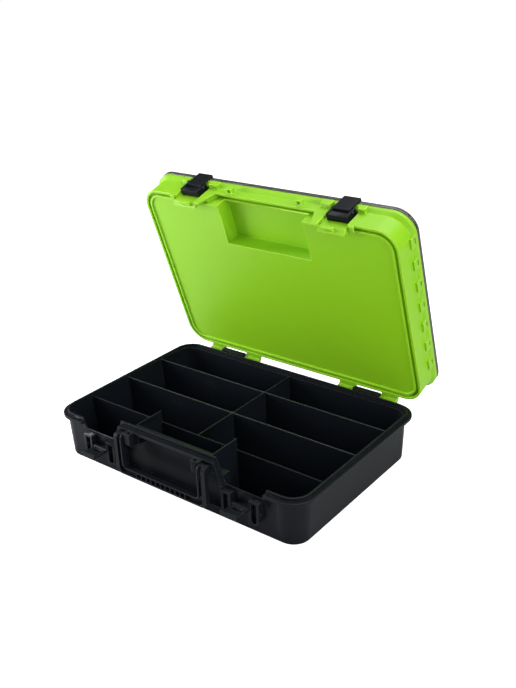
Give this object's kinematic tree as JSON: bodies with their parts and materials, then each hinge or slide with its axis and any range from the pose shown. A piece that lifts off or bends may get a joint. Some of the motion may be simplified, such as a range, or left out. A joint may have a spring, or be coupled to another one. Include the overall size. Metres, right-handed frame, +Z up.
{
  "type": "two-sided tackle case",
  "caption": "Portable tackle case with a compartment tray, a carrying handle and a tray-backed lid with its own cover and latches.",
  "frame": {"origin": "centre of the base rim's plan, on the plane that the case stands on", "axes": "+X to the case's right, seen from the handle side; -Y towards the handle; +Y towards the hinge; +Z up"},
  "size_m": [0.3832, 0.328, 0.3221],
  "materials": {
    "black_plastic": "satin moulded",
    "lime_plastic": "satin moulded",
    "smoke_plastic": "satin moulded",
    "steel": "drawn wire"
  },
  "bodies": {
    "base": {"base_shell": "black_plastic", "divider_rear_left": "black_plastic", "divider_rear_right": "black_plastic", "divider_middle_left": "black_plastic", "divider_middle_right": "black_plastic", "handle_pin_left": "steel", "handle_pin_right": "steel", "base_latch_pin_left": "steel", "base_latch_pin_right": "steel", "hinge_pin_left": "steel", "hinge_pin_right": "steel"},
    "handle": {"handle": "black_plastic"},
    "base_latch_left": {"base_latch_left": "black_plastic"},
    "base_latch_right": {"base_latch_right": "black_plastic"},
    "lid": {"lid_shell": "lime_plastic", "tray_divider_front": "smoke_plastic", "tray_divider_middle": "smoke_plastic", "tray_divider_rear": "smoke_plastic", "cover_latch_bracket_left": "black_plastic", "cover_latch_bracket_right": "black_plastic", "cover_latch_pin_left": "steel", "cover_latch_pin_right": "steel", "cover_hinge_pin_left": "steel", "cover_hinge_pin_right": "steel"},
    "cover": {"cover": "smoke_plastic"},
    "cover_latch_left": {"cover_latch_left": "black_plastic"},
    "cover_latch_right": {"cover_latch_right": "black_plastic"}
  },
  "joints": [
    {"name": "lid_hinge", "type": "hinge", "parent": "base", "child": "lid", "pos_m": [0, 0.1343, 0.0519], "axis": [-1, 0, 0], "range_deg": [-72, 18]},
    {"name": "cover_hinge", "type": "hinge", "parent": "lid", "child": "cover", "pos_m": [0, 0.17523, 0.06604], "axis": [-1, 0, 0], "range_deg": [0, 90]},
    {"name": "handle_pivot", "type": "hinge", "parent": "base", "child": "handle", "pos_m": [0, -0.1332, 0.0645], "axis": [-1, 0, 0], "range_deg": [0, 95]},
    {"name": "base_latch_left_pivot", "type": "hinge", "parent": "base", "child": "base_latch_left", "pos_m": [-0.1096, -0.1271, 0.0305], "axis": [-1, 0, 0], "range_deg": [0, 90]},
    {"name": "cover_latch_left_pivot", "type": "hinge", "parent": "lid", "child": "cover_latch_left", "pos_m": [-0.1096, 0.07697, 0.31117], "axis": [1, 0, 0], "range_deg": [0, 100]},
    {"name": "base_latch_right_pivot", "type": "hinge", "parent": "base", "child": "base_latch_right", "pos_m": [0.1096, -0.1271, 0.0305], "axis": [-1, 0, 0], "range_deg": [0, 90]},
    {"name": "cover_latch_right_pivot", "type": "hinge", "parent": "lid", "child": "cover_latch_right", "pos_m": [0.1096, 0.07697, 0.31117], "axis": [1, 0, 0], "range_deg": [0, 100]}
  ]
}
